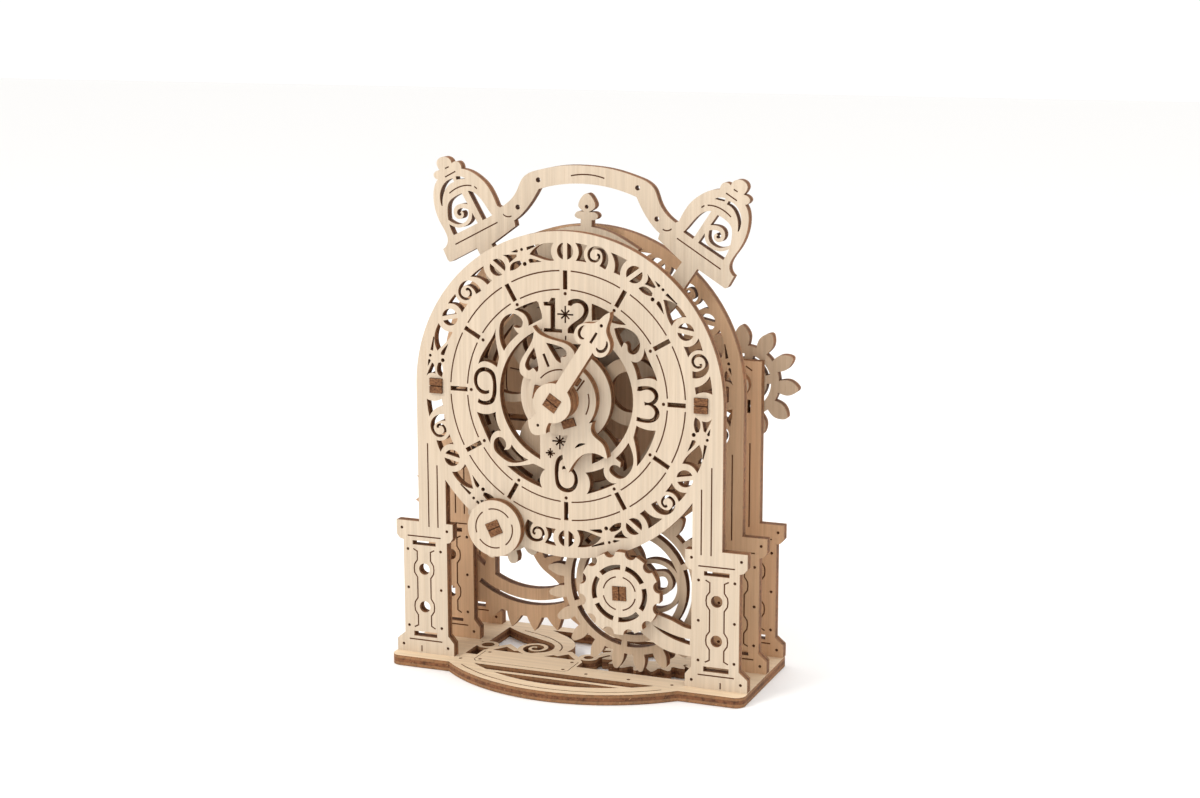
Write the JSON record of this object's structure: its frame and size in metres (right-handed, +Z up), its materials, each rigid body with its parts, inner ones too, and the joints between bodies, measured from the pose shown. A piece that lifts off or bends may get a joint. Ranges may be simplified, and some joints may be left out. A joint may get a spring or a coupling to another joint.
{
  "type": "wooden mechanical clock model",
  "caption": "Free-standing plywood alarm-clock model: pierced dial front with two hands, visible gear train, turning knob, petal wheel and a rocking twin-bell and handle plate.",
  "frame": {"origin": "on the underside of the base, straight below the dial centre, in the plane of the dial plate's front face", "axes": "+Z up, +X to the right seen from the front, +Y to the back, so the dial faces -Y"},
  "size_m": [0.1189, 0.0628, 0.1525],
  "materials": {
    "back_plate": "matt laser-cut plywood with browned cut edges",
    "base_plate": "matt laser-cut plywood with browned cut edges",
    "bell_handle_plate": "matt laser-cut plywood with browned cut edges",
    "centre_axle": "matt laser-cut plywood with browned cut edges",
    "centre_end_cap": "matt laser-cut plywood with browned cut edges",
    "centre_pinion": "matt laser-cut plywood with browned cut edges",
    "front_plate": "matt laser-cut plywood with browned cut edges",
    "great_wheel": "matt laser-cut plywood with browned cut edges",
    "hour_hand": "matt laser-cut plywood with browned cut edges",
    "hour_journal_disc": "matt laser-cut plywood with browned cut edges",
    "hour_pin_1": "matt laser-cut plywood with browned cut edges",
    "hour_pin_2": "matt laser-cut plywood with browned cut edges",
    "hour_pin_3": "matt laser-cut plywood with browned cut edges",
    "hour_spacer_disc": "matt laser-cut plywood with browned cut edges",
    "hour_wheel": "matt laser-cut plywood with browned cut edges",
    "knob": "matt laser-cut plywood with browned cut edges",
    "knob_axle": "matt laser-cut plywood with browned cut edges",
    "knob_end_cap": "matt laser-cut plywood with browned cut edges",
    "knob_pinion": "matt laser-cut plywood with browned cut edges",
    "knob_washer_front": "matt laser-cut plywood with browned cut edges",
    "knob_washer_mid": "matt laser-cut plywood with browned cut edges",
    "large_gear": "matt laser-cut plywood with browned cut edges",
    "left_peg": "matt laser-cut plywood with browned cut edges",
    "middle_plate": "matt laser-cut plywood with browned cut edges",
    "minute_hand": "matt laser-cut plywood with browned cut edges",
    "minute_washer_front": "matt laser-cut plywood with browned cut edges",
    "minute_washer_inner": "matt laser-cut plywood with browned cut edges",
    "minute_washer_mid": "matt laser-cut plywood with browned cut edges",
    "rear_axle": "matt laser-cut plywood with browned cut edges",
    "rear_centre_gear": "matt laser-cut plywood with browned cut edges",
    "rear_end_cap": "matt laser-cut plywood with browned cut edges",
    "rear_washer": "matt laser-cut plywood with browned cut edges",
    "rear_wheel": "matt laser-cut plywood with browned cut edges",
    "right_axle": "matt laser-cut plywood with browned cut edges",
    "right_end_cap": "matt laser-cut plywood with browned cut edges",
    "right_peg": "matt laser-cut plywood with browned cut edges",
    "right_washer": "matt laser-cut plywood with browned cut edges",
    "small_gear": "matt laser-cut plywood with browned cut edges"
  },
  "bodies": {
    "frame": {"base_plate": "base_plate", "front_plate": "front_plate", "middle_plate": "middle_plate", "back_plate": "back_plate", "left_peg": "left_peg", "right_peg": "right_peg"},
    "knob_set": {"knob": "knob", "knob_axle": "knob_axle", "knob_pinion": "knob_pinion", "great_wheel": "great_wheel", "knob_washer_front": "knob_washer_front", "knob_washer_mid": "knob_washer_mid", "knob_end_cap": "knob_end_cap"},
    "minute_set": {"minute_hand": "minute_hand", "minute_washer_front": "minute_washer_front", "centre_axle": "centre_axle", "minute_washer_inner": "minute_washer_inner", "minute_washer_mid": "minute_washer_mid", "centre_pinion": "centre_pinion", "rear_centre_gear": "rear_centre_gear", "centre_end_cap": "centre_end_cap"},
    "hour_set": {"hour_hand": "hour_hand", "hour_journal_disc": "hour_journal_disc", "hour_spacer_disc": "hour_spacer_disc", "hour_wheel": "hour_wheel", "hour_pin_1": "hour_pin_1", "hour_pin_2": "hour_pin_2", "hour_pin_3": "hour_pin_3"},
    "lower_set": {"small_gear": "small_gear", "right_axle": "right_axle", "large_gear": "large_gear", "right_washer": "right_washer", "right_end_cap": "right_end_cap"},
    "rear_set": {"rear_wheel": "rear_wheel", "rear_axle": "rear_axle", "rear_washer": "rear_washer", "rear_end_cap": "rear_end_cap"},
    "bell_set": {"bell_handle_plate": "bell_handle_plate"}
  },
  "joints": [
    {"name": "knob_turn", "type": "hinge", "parent": "frame", "child": "knob_set", "pos_m": [-0.0216, 0, 0.04525], "axis": [0, 1, 0], "continuous": true},
    {"name": "minute_spin", "type": "hinge", "parent": "frame", "child": "minute_set", "pos_m": [0, 0, 0.08565], "axis": [0, 1, 0], "continuous": true},
    {"name": "hour_spin", "type": "hinge", "parent": "frame", "child": "hour_set", "pos_m": [0, 0, 0.08565], "axis": [0, 1, 0], "continuous": true},
    {"name": "lower_gear_spin", "type": "hinge", "parent": "frame", "child": "lower_set", "pos_m": [0.0179, 0, 0.02965], "axis": [0, 1, 0], "continuous": true},
    {"name": "rear_wheel_spin", "type": "hinge", "parent": "frame", "child": "rear_set", "pos_m": [0.0414, 0.04, 0.08625], "axis": [0, 1, 0], "continuous": true},
    {"name": "bell_rock", "type": "hinge", "parent": "frame", "child": "bell_set", "pos_m": [0, 0.0126, 0.08565], "axis": [0, 1, 0], "range_deg": [-4.6, 0]}
  ],
  "couplings": [
    {"joint": "minute_spin", "follows": "knob_turn", "ratio": -4},
    {"joint": "hour_spin", "follows": "knob_turn", "ratio": -0.33333},
    {"joint": "lower_gear_spin", "follows": "knob_turn", "ratio": 0.47619},
    {"joint": "rear_wheel_spin", "follows": "knob_turn", "ratio": 7.2727}
  ]
}
